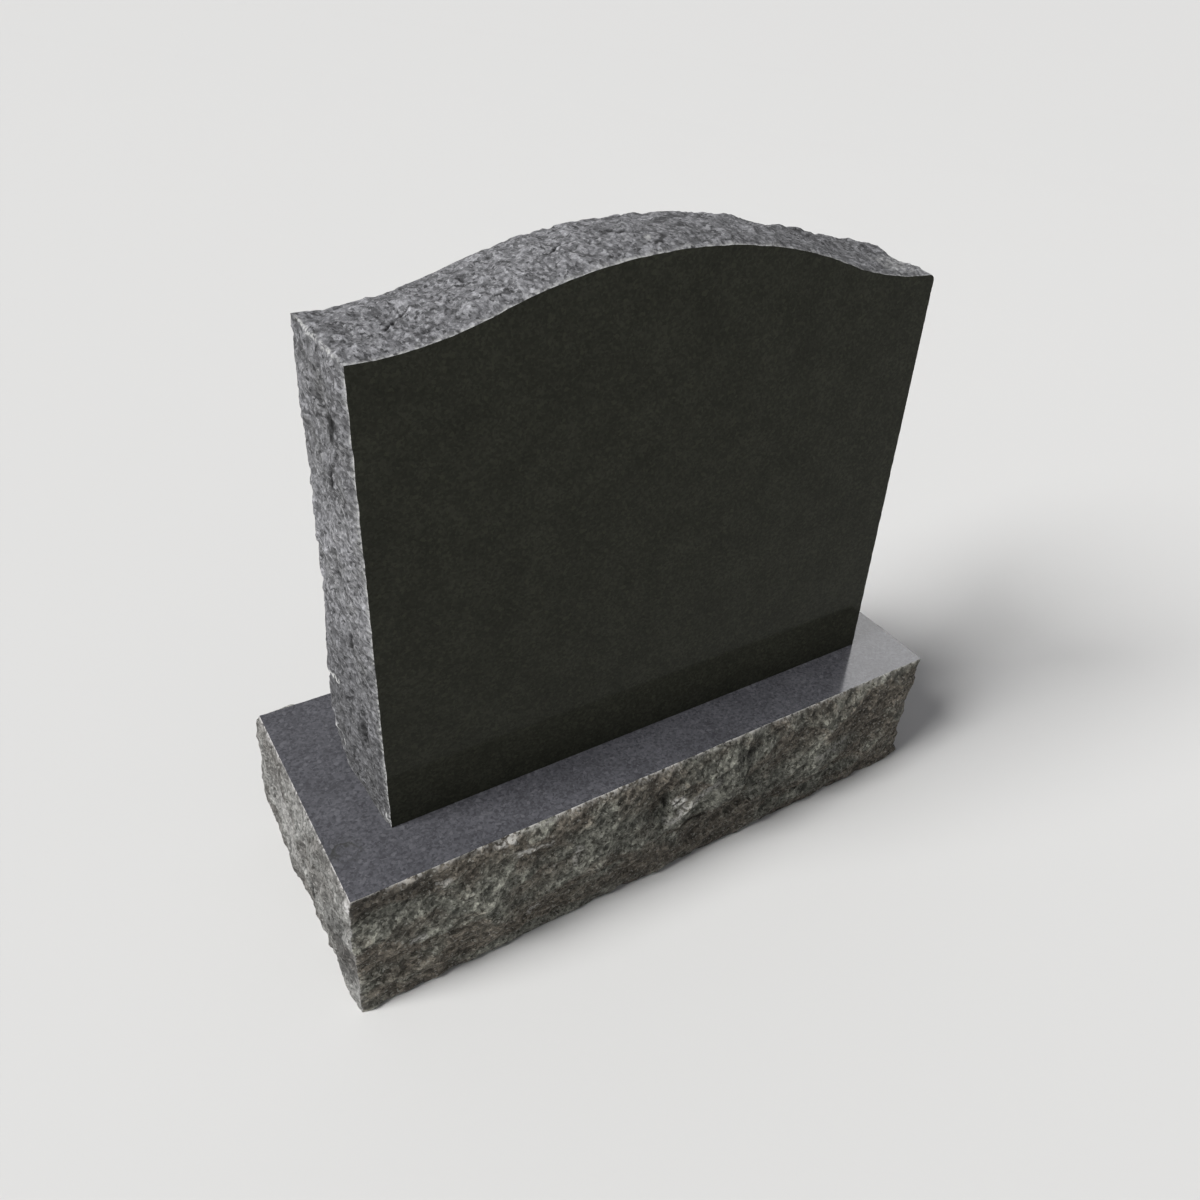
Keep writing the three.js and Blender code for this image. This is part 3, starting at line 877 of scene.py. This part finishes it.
def sawn_granite(name):
    """Sawn granite: plain, with the low strokes that the saw left."""
    nodes = Nodes(name)
    place = warped_place(nodes, **SAWN_SHAKE)
    stone = grains(nodes, SAWN_GRAIN_SCALE, place)
    stone = nodes.ramp(stone, [(0.1, grey(0.07)), (0.9, grey(0.15))])
    nodes.set(nodes.shader, "Base Color", stone)
    nodes.set(nodes.shader, "Roughness", 0.6)
    strokes = nodes.add("ShaderNodeTexWave", {
        "Vector": nodes.place(), "Scale": SAW_STROKE_SCALE, "Distortion": 1.5, "Detail": 2.0,
    }).outputs["Fac"]
    nodes.set(nodes.shader, "Normal", nodes.bump(strokes, 0.0004, 0.4))
    return nodes.material


def make_base():
    materials = [
        pitched_granite(
            "base_pitched", fresh=(0.129, 0.129, 0.109), stained_and_shaded=(0.113, 0.1, 0.081),
            stain_level=0.6, fleck=(0.034, 0.031, 0.024), glint=(0.34, 0.335, 0.3),
            bruised=(0.5, 0.49, 0.46), pit_shade=0.36, lean_shade=0.13,
            grain=190.0, tint=0.44, bed=1.0, bump=0.75,
        ),
        polished_granite(
            "base_polished", ground=(0.08, 0.08, 0.089), dark=(0.047, 0.047, 0.053),
            light=(0.13, 0.13, 0.142), roughness=0.14, ior=1.45, smudge=(-0.422, -0.091, 0.218),
        ),
        sawn_granite("base_sawn"),
        pitched_granite(
            "base_pitched_ends", fresh=(0.142, 0.141, 0.134), stained_and_shaded=(0.092, 0.088, 0.082),
            stain_level=0.5, fleck=(0.036, 0.034, 0.03), glint=(0.32, 0.315, 0.3),
            bruised=(0.42, 0.41, 0.4), pit_shade=0.22, lean_shade=0.08,
            grain=190.0, tint=0.3, bed=1.3, bump=0.45,
        ),
    ]
    finish = {
        "front": ("fine", 0), "back": ("fine", 0), "left": ("fine", 3), "right": ("fine", 3),
        "top": ("flat", 1), "bottom": ("flat", 2),
    }
    spaces = [stations(size, BASE_STEP) for size in (BASE_LENGTH, BASE_DEPTH, BASE_HEIGHT)]
    return build_block("base_stone", spaces, base_points, finish, materials)


def make_tablet():
    materials = [
        pitched_granite(
            "tablet_pitched", fresh=(0.138, 0.138, 0.144), stained_and_shaded=(0.1, 0.1, 0.1),
            stain_level=0.4, fleck=(0.03, 0.03, 0.031), glint=(0.34, 0.34, 0.35),
            bruised=(0.42, 0.42, 0.41), pit_shade=0.24, lean_shade=0.0,
            grain=200.0, tint=0.4, bed=1.6, bump=0.75,
        ),
        # The olive tint of this polish is partly painted: it stands for the reflection of a warm
        # floor.
        polished_granite(
            "tablet_polished", ground=(0.0318, 0.0327, 0.0248), dark=(0.026, 0.0268, 0.0204),
            light=(0.046, 0.048, 0.0345), roughness=0.08, ior=1.126,
        ),
        sawn_granite("tablet_sawn"),
    ]
    finish = {
        "left": ("fine", 0), "right": ("fine", 0), "top": ("fine", 0), "back": ("coarse", 0),
        "front": ("flat", 1), "bottom": ("flat", 2),
    }
    spaces = [stations(size, TABLET_STEP) for size in (TABLET_WIDTH, TABLET_THICKNESS, SHOULDER)]
    return build_block("tablet_stone", spaces, tablet_points, finish, materials)


def stay_inside(piece):
    """The fine relief never leaves the box of the solids."""
    for vertex in piece.data.vertices:
        vertex.co = [min(max(c, lo), hi) for c, lo, hi in zip(vertex.co, cad_low, cad_high)]


# Camera, as the photograph was taken: place in metres, angles in degrees, shift as a share
# of the picture
CAMERA_AT = (-0.6372, -0.9526, 1.1719)
CAMERA_YAW = 37.31
CAMERA_PITCH = -33.15
CAMERA_ROLL = 5.56
CAMERA_LENS = 30.38
CAMERA_SENSOR = 36
CAMERA_SHIFT = (-0.0629, -0.0301)


def make_camera():
    data = bpy.data.cameras.new("camera")
    data.lens = CAMERA_LENS
    data.sensor_width = CAMERA_SENSOR
    data.shift_x, data.shift_y = CAMERA_SHIFT
    yaw, pitch_angle, roll = (math.radians(a) for a in (CAMERA_YAW, CAMERA_PITCH, CAMERA_ROLL))
    forward = Vector((
        math.sin(yaw) * math.cos(pitch_angle),
        math.cos(yaw) * math.cos(pitch_angle),
        math.sin(pitch_angle),
    ))
    level = Vector((math.cos(yaw), -math.sin(yaw), 0))
    upright = level.cross(forward)
    right = level * math.cos(roll) + upright * math.sin(roll)
    up = upright * math.cos(roll) - level * math.sin(roll)
    camera = bpy.data.objects.new("camera", data)
    facing = Matrix((right, up, -forward)).transposed().to_4x4()
    camera.matrix_world = Matrix.Translation(CAMERA_AT) @ facing
    bpy.context.scene.collection.objects.link(camera)
    bpy.context.scene.camera = camera


# A round floor, with its radius in metres
FLOOR_RADIUS = 90
FLOOR_CORNERS = 96
FLOOR_TONE = (0.62, 0.617, 0.605, 1)

# The sky: pale along the horizon and grey from a little above it
HORIZON_TONE = (0.8, 0.8, 0.795, 1)
SKY_TONE = (0.25, 0.25, 0.262, 1)
SKY_FROM = 0.1

# The key light stands to the left, and a softbox behind to the right. Places are in metres.
KEY = {"at": (-3.1, 0.11, 2.6), "target": (0, 0, 0), "energy": 4.8, "angle": 30}
SOFTBOX = {"at": (4.2, 3.4, 4.2), "target": (0.3, 0, 0.2), "energy": 140, "size": (4, 3)}


def make_floor():
    bpy.ops.mesh.primitive_circle_add(
        vertices=FLOOR_CORNERS, radius=FLOOR_RADIUS, fill_type="NGON",
    )
    floor = bpy.context.object
    floor.name = "floor"
    nodes = Nodes("pale_floor")
    nodes.set(nodes.shader, "Base Color", FLOOR_TONE)
    nodes.set(nodes.shader, "Roughness", 0.9)
    nodes.set(nodes.shader, "Specular IOR Level", 0.1)
    floor.data.materials.append(nodes.material)


def place_light(data, light):
    """Sets a light in its place and turns it to its target."""
    obj = bpy.data.objects.new(data.name, data)
    obj.location = light["at"]
    way = Vector(light["target"]) - obj.location
    obj.rotation_euler = way.to_track_quat("-Z", "Y").to_euler()
    bpy.context.scene.collection.objects.link(obj)
    return obj


def make_sky():
    world = bpy.data.worlds.new("studio")
    bpy.context.scene.world = world
    world.use_nodes = True
    tree = world.node_tree
    sky = tree.nodes.new("ShaderNodeValToRGB")
    height = tree.nodes.new("ShaderNodeSeparateXYZ")
    direction = tree.nodes.new("ShaderNodeTexCoord")
    tree.links.new(direction.outputs["Generated"], height.inputs[0])
    tree.links.new(height.outputs["Z"], sky.inputs["Fac"])
    sky.color_ramp.elements[0].color = HORIZON_TONE
    sky.color_ramp.elements[1].position = SKY_FROM
    sky.color_ramp.elements[1].color = SKY_TONE
    tree.links.new(sky.outputs["Color"], tree.nodes["Background"].inputs["Color"])
    tree.nodes["Background"].inputs["Strength"].default_value = 1.0


def make_light():
    key = bpy.data.lights.new("key", "SUN")
    key.energy = KEY["energy"]
    key.angle = math.radians(KEY["angle"])
    place_light(key, KEY)

    soft = bpy.data.lights.new("softbox", "AREA")
    soft.shape = "RECTANGLE"
    soft.size, soft.size_y = SOFTBOX["size"]
    soft.energy = SOFTBOX["energy"]
    place_light(soft, SOFTBOX).visible_diffuse = False


make_camera()
for make, node, slot in (
    (make_base, "base", "base_granite"), (make_tablet, "tablet", "tablet_granite"),
):
    stone = make()
    stay_inside(stone)
    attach(stone, "root")
    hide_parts(node)
make_floor()
make_sky()
make_light()
bpy.context.scene.view_settings.view_transform = "Standard"
